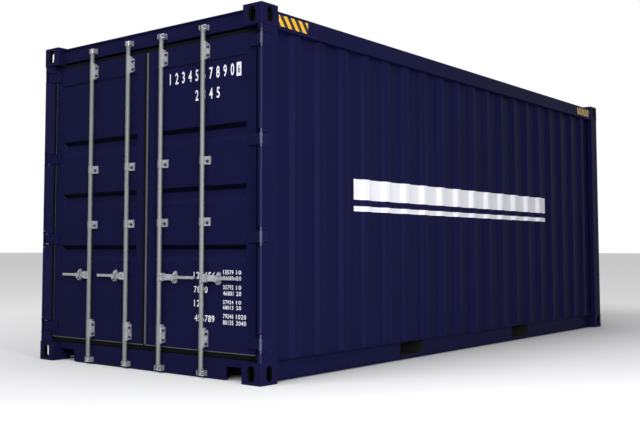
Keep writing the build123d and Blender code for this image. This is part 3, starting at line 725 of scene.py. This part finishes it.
# weld beads: their length across a door post and an end post, and half their width and the radius on their edges
# as shares of the bead's size
FRONT_RUN, END_RUN = 0.030, 0.125
BEAD_SHARE, BEAD_ROUND = 0.7, 0.6
WALL_EDGE = 0.002
BAND_TOPS = (1.790, 1.358, 0.936)
BAND_HEIGHT = 0.113
BAND_DEPTH = 0.028
BAND_MARGIN = 0.010
ROOF_RIB_HEIGHT = 0.018
ROOF_RIB_WIDTH = 0.104
ROOF_RIB_MARGIN = 0.092
ROOF_RIBS = [(index - 13) * 0.209 for index in range(27)]
STRIPE_HEIGHTS = ((1.29, 1.45), (1.20, 1.24))
STRIPE_ENDS = (-1.88, 1.64)
# height and depth of the dark rubber bead over a panel: painted shade along the panel's top edge, under the leaf
# frame's top rail
SHADOW_BEAD = (0.006, 0.0035)
# across and in depth from the leaf's face: the strip and the lip between the leaves, and the lip on the post
LEAVES_STRIP = (0.002, 0.020)
LEAVES_LIP, LEAVES_LIP_DEPTH = (0.001, 0.022), (-0.005, 0)
POST_LIP_EDGE, POST_LIP_DEPTH = 0.0165, (-0.013, -0.004)
LIP_END = 0.012
GAP_START, GAP_DEPTH = 0.0005, (0.0005, 0.003)
RIVET_START, RIVET_STEP, RIVETS = 0.06, 0.15, 8
LABEL_ENDS = (("door", (-2.844, -2.519)), ("end", (2.450, 2.785)))
LABEL_HEIGHTS = (2.455, 2.534)
HINGE_X = 1.203
HINGE_Y = DOOR_END + 0.016
HINGE_REACH = 0.022
# the side of the hinge eyes that carries a painted highlight, towards the lamps: its direction, and how closely a
# face has to look that way
EYE_HIGHLIGHT_WAY, EYE_HIGHLIGHT_MATCH = (0.68, -0.73), 0.84
BAR_OFFSETS = (0.188, 0.629)
BAR_Y = DOOR_END + 0.032
BAR_TRIM = 0.0018
CAM_HEIGHT = 0.042
CAM_SHARE = (0.84, 0.92, 0.86)
# what belongs to a keeper: within this of its bar's axis, and of the bar's end
KEEPER_REACH = (0.110, 0.2)
# the bars' straps: distances from the axis to tell the sleeve from the plate, and what is taken off each
SLEEVE_REACH, SLEEVE_SKIN = 0.0240, 0.0215
SLEEVE_SHARE = 0.92
PLATE_ROOT, PLATE_EDGE, PLATE_REACH, PLATE_BACK = 0.0180, 0.050, 0.065, 0.012
STRAP_FOLD, STRAP_EDGE = 0.0068, 0.0015
PLATE_TRIM = 0.010
PLATE_CUT = 0.014
# the long plates stand this far above and below the middle
MIDDLE, LONG_AWAY = 1.3, 0.6
# what lies between two heights is moved up by the third number
PLATE_ENDS = ((2.250, 2.285, 0.018), (2.385, 2.440, -0.010), (0.190, 0.222, 0.012))
LONG_PLATE = LEAF_FACE - 0.020 + PLATE_TRIM
SHORT_PLATE = PANEL_FACE - 0.020 + PLATE_TRIM
# reach from the bar, face and height of each bracket bolt
BOLTS = [(0.0350, LONG_PLATE, z) for z in (0.240, 0.310, 2.300, 2.362)]
BOLTS += [(0.0335, SHORT_PLATE, z) for z in (1.096, 1.535)]
HUB_OFFSET = 0.041
HUB_FACE = DOOR_END + 0.014
HUB_RADIUS, HUB_HALF = 0.0185, 0.06
BOSS_RISE = 0.0185
HANDLE_HEIGHT = 0.703
CATCH_OFFSET = 0.146
CATCH_FACE = DOOR_END + 0.0305
# the knob's place on the catch: across and up
CATCH_STUD = (0.0145, 0.024)
COLLAR_GAP = 0.010
# profiles of turned pieces: radius and height along the axis
RIVET = [(0, 0), (0.0032, 0), (0.0026, 0.0009), (0.0012, 0.0014), (0, 0.0015)]
KNOB = [(0, 0), (0.010, 0), (0.0108, 0.003), (0.009, 0.007), (0.0045, 0.0088), (0, 0.009)]
COLLAR = [(0.0155, -0.005), (0.0190, -0.002), (0.0190, 0.002), (0.0155, 0.005)]
# plain digits on the right-hand door: the digits, their range across and their range in height
NUMBER_ROWS = [
    ("1234567890", (0.251, 0.907), (2.128, 2.215)),
    ("2345", (0.522, 0.768), (1.983, 2.063)),
    ("123456", (0.519, 0.735), (0.696, 0.746)),
    ("7890", (0.522, 0.660), (0.596, 0.644)),
    ("123", (0.525, 0.622), (0.498, 0.546)),
    ("456789", (0.530, 0.729), (0.393, 0.442)),
]
# each row of the table holds two lines of small digits, in two columns
for row, (low_line, high_line) in enumerate(((0.690, 0.762), (0.585, 0.658), (0.489, 0.553), (0.383, 0.458))):
    line = (high_line - low_line) * 0.42
    column = (0.936, 0.983 if row < 3 else 1.030)
    NUMBER_ROWS += [
        ("13579"[row:] + "2468"[:row], (0.812, 0.910), (high_line - line, high_line)),
        ("24680"[row:] + "1357"[:row], (0.812, 0.910), (low_line, low_line + line)),
        ("10" if row < 3 else "1020", column, (high_line - line, high_line)),
        ("20" if row < 3 else "3040", column, (low_line, low_line + line)),
    ]
CHECK_BOX = ((0.931, 0.976), (2.118, 2.216))
CHECK_MARGIN = (0.012, 0.020)
CHECK_DEPTH = 0.0006
# place, size and share of the key light's power of each lamp
LAMPS = (
    ("key", (-1.5, -11.0, 14.0), 6.0, 1.0),
    ("side", (5.0, -10.5, 4.5), 4.0, 0.45),
    ("edge", (6.0, -4.6, 1.4), 2.2, 0.27),
)
LAMPS_AIM = (0, 0, 1.2)
FLOOR_LIFT = 0.26
CAMERA_PLACE = (5.2331, -7.5833, 0.9072)
CAMERA_TURN = (math.radians(93.758), 0, math.radians(38.923))
CAMERA_SHIFT = (0.03095, -0.0327)


def sizes():
    return bpy.context.scene.container_sizes


def bar_axis(side, bar):
    """Where a locking bar's axis stands."""
    return dict(SIDES)[side] * BAR_OFFSETS[BARS.index(bar)], BAR_Y


def cam_ends(side, bar):
    """The height of each end of a locking bar, with that of its cam's neck."""
    low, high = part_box(f"locking_bar_{side}_{bar}")
    return (low.z, low.z + CAM_HEIGHT), (high.z, high.z - CAM_HEIGHT)


# Operators


class OBJECT_OT_corner_castings(bpy.types.Operator):
    """Rounds and paints the eight corner castings"""

    bl_idname = "object.corner_castings"
    bl_label = "Corner castings"

    def execute(self, context):
        for node in (f"castings_{end}_{level}" for end in ("door", "end") for level in ("bottom", "top")):
            piece = soften(node, "cast_steel_paint", [(40, 140, sizes().cast_edge * 0.6, 2)])
            low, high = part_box(node)

            def in_hollow(face):
                x, y, z = face.center
                depth = (high.x - abs(x), high.y - y, y - low.y, high.z - z, z - low.z)
                return min(depth) > PAINTED_LIP and high.x - abs(x) < HOLLOW_REACH

            # the paint ends just inside the openings: the hollow behind them is painted black, painted shade for the
            # unlit inside
            second_look(piece, "grease", in_hollow)
        return {"FINISHED"}


class OBJECT_OT_frame_steel(bpy.types.Operator):
    """Rounds and paints the posts, headers, sills and rails"""

    bl_idname = "object.frame_steel"
    bl_label = "Posts and beams"

    def execute(self, context):
        nodes = ["door_header", "door_sill", "end_header", "end_sill"]
        for side, _ in SIDES:
            nodes += [f"end_post_{side}", f"top_rail_{side}", f"bottom_rail_{side}"]
        for node in nodes:
            soften(node, "alkyd_paint", [(25, 140, sizes().plate_edge, 2)])
        for side, _ in SIDES:
            node = f"door_post_{side}"
            post = merged_copy(node, f"{node}_finished")
            low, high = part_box(node)
            outer = max(abs(low.x), abs(high.x))

            def outer_corner(edge):
                ends = [corner.co for corner in edge.verts]
                return all(abs(end.x) > outer - 0.0005 and end.y < low.y + 0.001 for end in ends)

            def slanted_corner(face):
                x, y = abs(face.center.x), face.center.y
                near = x > POST_HIGHLIGHT_FROM and y < low.y + POST_HIGHLIGHT_DEPTH
                return near and face.normal.y < -0.3 and 0.35 < abs(face.normal.x) < 0.95

            round_edges(post, sizes().post_corner, 5, outer_corner)
            round_edges(post, sizes().plate_edge, 2, bend(30, 140))
            finish_piece(post, BODY_OF[node], "alkyd_paint", (node,))
            # the slanted outer corner, which catches the light, gets a painted highlight
            second_look(post, "alkyd_paint_rubbed", slanted_corner)
        return {"FINISHED"}


class OBJECT_OT_weld_beads(bpy.types.Operator):
    """Lays beads where the posts meet the castings and where the walls meet the rails"""

    bl_idname = "object.weld_beads"
    bl_label = "Weld beads"

    def execute(self, context):
        half = sizes().bead * BEAD_SHARE
        for side, sign in SIDES:
            low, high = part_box(f"door_post_{side}")
            outer = max(abs(low.x), abs(high.x))
            runs = []
            for z in (low.z, high.z):
                runs.append(((outer - FRONT_RUN, low.y, z), (outer, low.y, z)))
                runs.append(((outer, low.y, z), (outer, high.y, z)))
                runs.append(((outer, -high.y, z), (outer, -low.y, z)))
                runs.append(((outer - END_RUN, -low.y, z), (outer, -low.y, z)))
            low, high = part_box(f"side_wall_{side}")
            face = max(abs(low.x), abs(high.x)) - WALL_EDGE
            for z in (low.z + WALL_EDGE, high.z - WALL_EDGE):
                runs.append(((face, low.y, z), (face, high.y, z)))
            beads = []
            for start, end in runs:
                corners = [sorted((sign * start[0], sign * end[0])), (start[1], end[1]), (start[2], end[2])]
                bead = block(f"weld_bead_{side}", [c[0] - half for c in corners], [c[1] + half for c in corners])
                round_edges(bead, sizes().bead * BEAD_ROUND, 2, SQUARE)
                leave()
                beads.append(bead)
            finish_piece(joined(beads, f"weld_beads_{side}"), "frame", "alkyd_paint")
        return {"FINISHED"}


class OBJECT_OT_pressed_walls(bpy.types.Operator):
    """Rolls the folds of the side walls, the end wall and the roof"""

    bl_idname = "object.pressed_walls"
    bl_label = "Walls and roof"

    def execute(self, context):
        folds = [(20, 60, sizes().fold, 3)]
        for side, sign in SIDES:
            wall = soften(f"side_wall_{side}", "alkyd_paint_striped", folds)
            # the stripes are on the outside only
            second_look(wall, "alkyd_paint", lambda face: face.normal.x * sign < 0.01)
        soften("end_wall", "alkyd_paint", folds)

        low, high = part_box("roof")
        rib_end, half = low.x + ROOF_RIB_MARGIN, ROOF_RIB_WIDTH / 2
        ribs = [((rib_end, middle - half, 0), (-rib_end, middle + half, 0)) for middle in ROOF_RIBS]
        roof = pressed_sheet(
            "roof_finished",
            (0, 0, high.z - ROOF_RIB_HEIGHT),
            (high.x - low.x, high.y - low.y),
            (0, 0, 0),
            ribs,
            ROOF_RIB_HEIGHT,
            ROOF_RIB_HEIGHT,
            sizes().fold / 2,
        )
        finish_piece(roof, "frame", "alkyd_paint", ("roof",))
        return {"FINISHED"}


class OBJECT_OT_underframe(bpy.types.Operator):
    """Finishes the floor, the cross members and the forklift pockets"""

    bl_idname = "object.underframe"
    bl_label = "Floor and underframe"

    def execute(self, context):
        soften("floor", "phenolic_plywood", [(60, 120, 0.002, 1)])
        for node in ("cross_members", "forklift_pockets"):
            soften(node, "bitumen_coat", [(60, 120, 0.0015, 1)])
        return {"FINISHED"}


class OBJECT_OT_door_leaves(bpy.types.Operator):
    """Rounds and paints the leaves' frames and pressed panels"""

    bl_idname = "object.door_leaves"
    bl_label = "Door leaves"

    def execute(self, context):
        for side, _ in SIDES:
            soften(f"door_frame_{side}", "alkyd_paint", [(60, 120, sizes().plate_edge, 2)])
            node = f"door_panel_{side}"
            low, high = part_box(node)
            left, right = low.x + BAND_MARGIN, high.x - BAND_MARGIN
            panel = pressed_sheet(
                f"{node}_finished",
                ((low.x + high.x) / 2, low.y, (low.z + high.z) / 2),
                (high.x - low.x, high.z - low.z),
                (math.pi / 2, 0, 0),
                [((left, 0, top - BAND_HEIGHT), (right, 0, top)) for top in BAND_TOPS],
                BAND_DEPTH,
                -BAND_DEPTH,
                sizes().fold * 0.8,
            )
            finish_piece(panel, f"door_{side}", "alkyd_paint", (node,))
            # painted shade on the folds that face down: the top slopes of the pressed bands, darkened where they fall
            # in shadow
            second_look(panel, "alkyd_paint_grimed", lambda face: face.normal.z < -0.25 and face.normal.y < -0.1)
            # a dark rubber bead along the panel's top edge is painted shade for the shadow under the frame's top rail
            tall, deep = SHADOW_BEAD
            corners = (low.x, PANEL_FACE - deep, high.z - tall), (high.x, PANEL_FACE, high.z)
            rounded_block(f"panel_sealant_{side}", *corners, 0.0015, 2, f"door_{side}", "epdm_rubber", "seal")
        return {"FINISHED"}


class OBJECT_OT_door_seals(bpy.types.Operator):
    """Makes the rubber seals and the strips that hold them"""

    bl_idname = "object.door_seals"
    bl_label = "Door seals"

    def execute(self, context):
        rivet = turned("rivet", (0, -1, 0), RIVET, 12)
        rise, width = sizes().strip_height, sizes().strip_width
        for side, sign in SIDES:
            body = f"door_{side}"
            node = f"door_seal_{side}"
            seal = merged_copy(node, f"{node}_finished")
            round_edges(seal, 0.0025, 2, SQUARE)
            finish_piece(seal, body, "epdm_rubber", (node,))

            low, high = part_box(f"door_frame_{side}")
            # the hinge side's strip lies in the gap between the leaf and the post, painted over on the right
            edge = max(abs(low.x), abs(high.x)) + GAP_START
            gap = sorted((sign * edge, sign * (edge + width * 0.7)))
            tall = (low.z + width, high.z - width)
            gap_look = "alkyd_paint" if sign > 0 else "rolled_aluminium"
            strips = [
                ("bottom", (low.x, high.x), (low.z, low.z + width * 0.8), (-rise, 0), "rolled_aluminium"),
                ("hinge", gap, tall, GAP_DEPTH, gap_look),
            ]
            if sign > 0:
                strips.append(("middle", LEAVES_STRIP, tall, (-rise, 0), "rolled_aluminium"))
            for place, (left, right), (bottom, top), (front, back), look in strips:
                corners = (left, LEAF_FACE + front, bottom), (right, LEAF_FACE + back, top)
                rounded_block(f"seal_strip_{place}_{side}", *corners, 0.0009, 2, body, look, "hardware")

            starts = [low.x + RIVET_START + RIVET_STEP * step for step in range(RIVETS)]
            places = [(x, LEAF_FACE - rise, low.z + width * 0.4) for x in starts]
            finish_piece(repeated(rivet, places, f"seal_rivets_{side}"), body, "black_oxide_steel")

            # one lip lies on the slanted face of the post, and one between the leaves; the post lip on the right is
            # painted dark, painted shade for the shadow the post casts on the leaf's edge
            post_look = "alkyd_paint_grimed" if sign > 0 else "epdm_rubber"
            lips = [("post", (edge + width * 0.75, edge + POST_LIP_EDGE), POST_LIP_DEPTH, post_look)]
            if sign < 0:
                lips.append(("middle", LEAVES_LIP, LEAVES_LIP_DEPTH, "epdm_rubber"))
            for place, across, (front, back), look in lips:
                left, right = sorted(sign * x for x in across)
                corners = (left, LEAF_FACE + front, low.z + LIP_END), (right, LEAF_FACE + back, high.z - LIP_END)
                rounded_block(f"seal_lip_{place}_{side}", *corners, 0.002, 3, body, look, "seal")
        discard(rivet)
        return {"FINISHED"}


class OBJECT_OT_door_numbers(bpy.types.Operator):
    """Plain digits on the right-hand door, and the check box"""

    bl_idname = "object.door_numbers"
    bl_label = "Numbers"

    def execute(self, context):
        for index, (digits, across, tall) in enumerate(NUMBER_ROWS):
            # the two large rows are widely spaced
            spacing = 2.0 if index < 2 else 1.15
            number(f"number_{index}", digits, across, tall, PANEL_FACE, "marking_film", spacing)
        (left, right), (bottom, top) = CHECK_BOX
        face = PANEL_FACE - CHECK_DEPTH
        corners = (left, face, bottom), (right, PANEL_FACE, top)
        rounded_block("number_box", *corners, 0.003, 2, "door_right", "marking_film", "paint", along("y"))
        across, tall = CHECK_MARGIN
        inner = ((left + across, right - across), (bottom + tall, top - tall))
        number("number_box_digit", "6", *inner, face, "alkyd_paint")
        return {"FINISHED"}


class OBJECT_OT_height_labels(bpy.types.Operator):
    """Striped height labels on both top rails"""

    bl_idname = "object.height_labels"
    bl_label = "Height labels"

    def execute(self, context):
        bottom, top = LABEL_HEIGHTS
        for side, sign in SIDES:
            low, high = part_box(f"top_rail_{side}")
            face = high.x if sign > 0 else low.x
            left, right = sorted((face, face + sign * FILM))
            for end, (near, far) in LABEL_ENDS:
                name, corners = f"height_label_{side}_{end}", ((left, near, bottom), (right, far, top))
                rounded_block(name, *corners, 0.004, 3, "frame", "hazard_vinyl", "paint", along("x"))
        return {"FINISHED"}


class OBJECT_OT_hinges(bpy.types.Operator):
    """Finishes the hinge blades, their pins and lugs"""

    bl_idname = "object.container_hinges"
    bl_label = "Hinges"

    def execute(self, context):
        for side, sign in SIDES:
            outwards = Vector((sign * EYE_HIGHLIGHT_WAY[0], EYE_HIGHLIGHT_WAY[1], 0))
            axis = Vector((sign * HINGE_X, HINGE_Y))

            def on_eye(face):
                return (face.center.xy - axis).length < HINGE_REACH

            def highlighted(face):
                return on_eye(face) and face.normal.dot(outwards) > EYE_HIGHLIGHT_MATCH

            for node in (f"hinge_pins_{side}", f"door_hinges_{side}"):
                piece = soften(node, "alkyd_paint", [(40, 120, sizes().forged_edge * 1.4, 3)])
                # the eyes are painted dark as painted shade, and on the side towards the corner, which faces the
                # lamps, they carry a painted highlight
                second_look(piece, "alkyd_paint_grimed", on_eye)
                second_look(piece, "hinge_paint", highlighted)
        return {"FINISHED"}


def finish_straps(side):
    """The bars' straps on one leaf, trimmed to the size seen."""
    node = f"door_fittings_{side}"
    straps = merged_copy(node, f"{node}_finished")
    axes = [Vector(bar_axis(side, bar)) for bar in BARS]
    for axis in axes:

        def in_sleeve(spot):
            return (spot.xy - axis).length < SLEEVE_REACH

        def on_plate(spot):
            return spot.y < LEAF_FACE - PLATE_BACK and abs(spot.x - axis.x) < PLATE_REACH and not in_sleeve(spot)

        def on_long_edge(spot):
            return PLATE_EDGE < spot.x - axis.x < PLATE_REACH and abs(spot.z - MIDDLE) > LONG_AWAY

        shrink_about(straps, (*axis, 0), (SLEEVE_SHARE, SLEEVE_SHARE, 1), in_sleeve)
        shift(straps, (0, PLATE_TRIM, 0), on_plate)
        shift(straps, (-PLATE_CUT, 0, 0), on_long_edge)
        for foot, top, rise in PLATE_ENDS:
            shift(
                straps,
                (0, 0, rise),
                lambda spot: PLATE_ROOT < spot.x - axis.x < PLATE_REACH and foot < spot.z < top,
            )
    round_edges(straps, STRAP_FOLD, 4, bend(40, 50))
    round_edges(straps, STRAP_EDGE, 1, bend(60, 140))
    finish_piece(straps, f"door_{side}", "galvanised_steel", (node,))

    def off_the_sleeves(face):
        return min((face.center.xy - axis).length for axis in axes) > SLEEVE_SKIN

    second_look(straps, "forged_zinc", off_the_sleeves)


def finish_bar(side, bar):
    """A locking bar, its tube a little thinner than the CAD's and its cams smaller, as seen."""
    node = f"locking_bar_{side}_{bar}"
    piece = merged_copy(node, f"{node}_finished")
    axis = bar_axis(side, bar)
    (low, low_neck), (high, high_neck) = cam_ends(side, bar)
    take_all()
    bpy.ops.transform.shrink_fatten(value=-BAR_TRIM)
    for far, neck in cam_ends(side, bar):
        shrink_about(piece, (*axis, neck), CAM_SHARE, lambda spot: abs(spot.z - far) < CAM_HEIGHT - 0.0005)

    def on_cam(edge):
        ends = [corner.co.z for corner in edge.verts]
        return bend(30, 140)(edge) and (max(ends) < low_neck + 0.001 or min(ends) > high_neck - 0.001)

    def forged(face):
        spot = face.center
        on_hub = abs(spot.z - HANDLE_HEIGHT) < HUB_HALF and (spot.xy - Vector(axis)).length > HUB_RADIUS
        return on_hub or spot.z < low_neck or spot.z > high_neck

    round_edges(piece, sizes().forged_edge * 2, 3, on_cam)
    round_edges(piece, sizes().forged_edge * 0.8, 2, bend(50, 140))
    finish_piece(piece, BODY_OF[node], "galvanised_steel", (node,))
    second_look(piece, "forged_zinc", forged)


def finish_keepers():
    """The keepers on the header and the sill, as much smaller as their cams."""
    keepers = merged_copy("cam_keepers", "cam_keepers_finished")
    across, tall = KEEPER_REACH
    for side, bar in ALL_BARS:
        x, y = bar_axis(side, bar)
        for far, neck in cam_ends(side, bar):
            shrink_about(
                keepers,
                (x, y, neck),
                (CAM_SHARE[0], 1, CAM_SHARE[2]),
                lambda spot: abs(spot.x - x) < across and abs(spot.z - far) < tall,
            )
    round_edges(keepers, 0.006, 3, lambda edge: SQUARE(edge) and along("y", 0.006)(edge))
    round_edges(keepers, sizes().forged_edge, 2, bend(50, 140))
    finish_piece(keepers, "frame", "forged_zinc", ("cam_keepers",))


class OBJECT_OT_locking_gear(bpy.types.Operator):
    """Finishes the locking bars, their brackets, cams, keepers and handles"""

    bl_idname = "object.locking_gear"
    bl_label = "Locking gear"

    def execute(self, context):
        for side, _ in SIDES:
            finish_straps(side)
            for bar in BARS:
                finish_bar(side, bar)
                soften(f"handle_{side}_{bar}", "forged_zinc", [(30, 140, sizes().forged_edge, 2)])
        finish_keepers()

        bolt = hex_bolt("bolt", sizes().bolt, 0.007)
        pivot = hex_bolt("pivot", sizes().bolt * 1.1, 0.006)
        knob = turned("knob", (0, -1, 0), KNOB)
        collar = turned("collar", (0, 0, 1), COLLAR)
        for side, bar in ALL_BARS:
            sign = dict(SIDES)[side]
            x, y = bar_axis(side, bar)
            hub, stud = x + sign * HUB_OFFSET, x + sign * CATCH_OFFSET + CATCH_STUD[0]
            (_, low_neck), (_, high_neck) = cam_ends(side, bar)
            door, turns, lifts = f"door_{side}", f"locking_bar_{side}_{bar}", f"handle_{side}_{bar}"
            bosses = [(hub, HUB_FACE, HANDLE_HEIGHT + rise) for rise in (-BOSS_RISE, BOSS_RISE)]
            rings = [(x, y, z) for z in (low_neck + COLLAR_GAP, high_neck - COLLAR_GAP)]
            bolts = [(x + reach, face, z) for reach, face, z in BOLTS]
            for name, template, places, body, look in (
                ("bracket_bolts", bolt, bolts, door, "black_oxide_steel"),
                ("handle_pivot", pivot, [(hub, HUB_FACE, HANDLE_HEIGHT)], turns, "forged_zinc"),
                ("hub_bosses", knob, bosses, turns, "forged_zinc"),
                ("catch_knob", knob, [(stud, CATCH_FACE, HANDLE_HEIGHT + CATCH_STUD[1])], lifts, "forged_zinc"),
                ("bar_collars", collar, rings, turns, "galvanised_steel"),
            ):
                finish_piece(repeated(template, places, f"{name}_{side}_{bar}"), body, look)
        discard(bolt, pivot, knob, collar)
        return {"FINISHED"}


class SCENE_OT_container_stage(bpy.types.Operator):
    """Sets the floor, the lights, the camera and the view"""

    bl_idname = "scene.container_stage"
    bl_label = "Stage"

    def execute(self, context):
        scene = context.scene
        stage = scene.container_stage
        floor = started("studio_floor", bpy.ops.mesh.primitive_plane_add, size=400)
        floor.data.materials.append(material("studio_floor"))

        world = bpy.data.worlds.new("studio_world")
        scene.world = world
        world.use_nodes = True
        tree = world.node_tree
        tree.nodes.clear()
        strength = ramp(tree, background_rays(tree), stage.fill, 1.0)
        light = add_node(tree, "ShaderNodeBackground", {"Color": (1, 1, 1, 1), "Strength": strength}).outputs[0]
        add_node(tree, "ShaderNodeOutputWorld", {"Surface": light})

        for name, place, size, share in LAMPS:
            lamp = started(name, bpy.ops.object.light_add, type="AREA", location=place)
            lamp.data.size = size
            lamp.data.energy = stage.key * share
            lamp.rotation_euler = (Vector(LAMPS_AIM) - Vector(place)).to_track_quat("-Z", "Y").to_euler()

        camera = started("Camera", bpy.ops.object.camera_add, location=CAMERA_PLACE, rotation=CAMERA_TURN)
        camera.data.lens = stage.lens
        camera.data.sensor_width = 36.0
        camera.data.sensor_fit = "HORIZONTAL"
        camera.data.shift_x, camera.data.shift_y = CAMERA_SHIFT
        camera.data.clip_end = 1000
        scene.camera = camera
        scene.view_settings.view_transform = "Standard"
        return {"FINISHED"}


PIECES = (
    OBJECT_OT_corner_castings,
    OBJECT_OT_frame_steel,
    OBJECT_OT_weld_beads,
    OBJECT_OT_pressed_walls,
    OBJECT_OT_underframe,
    OBJECT_OT_door_leaves,
    OBJECT_OT_door_seals,
    OBJECT_OT_door_numbers,
    OBJECT_OT_height_labels,
    OBJECT_OT_hinges,
    OBJECT_OT_locking_gear,
    SCENE_OT_container_stage,
)


class VIEW3D_PT_container(bpy.types.Panel):
    bl_label = "Container"
    bl_idname = "VIEW3D_PT_container"
    bl_space_type = "VIEW_3D"
    bl_region_type = "UI"
    bl_category = "Container"

    def draw(self, context):
        for group in ("container_colours", "container_sizes", "container_stage"):
            box = self.layout.box()
            settings = getattr(context.scene, group)
            for name in settings.__annotations__:
                box.prop(settings, name)
        for piece in PIECES:
            self.layout.operator(piece.bl_idname)


GROUPS = {
    "container_colours": ContainerColours,
    "container_sizes": ContainerSizes,
    "container_stage": ContainerStage,
}
CLASSES = (*GROUPS.values(), *PIECES, VIEW3D_PT_container)


def register():
    for each in CLASSES:
        bpy.utils.register_class(each)
    for name, group in GROUPS.items():
        setattr(bpy.types.Scene, name, bpy.props.PointerProperty(type=group))


def unregister():
    for name in GROUPS:
        delattr(bpy.types.Scene, name)
    for each in reversed(CLASSES):
        bpy.utils.unregister_class(each)


def main():
    register()
    for piece in PIECES:
        group, name = piece.bl_idname.split(".")
        getattr(getattr(bpy.ops, group), name)()


if __name__ == "__main__":
    main()
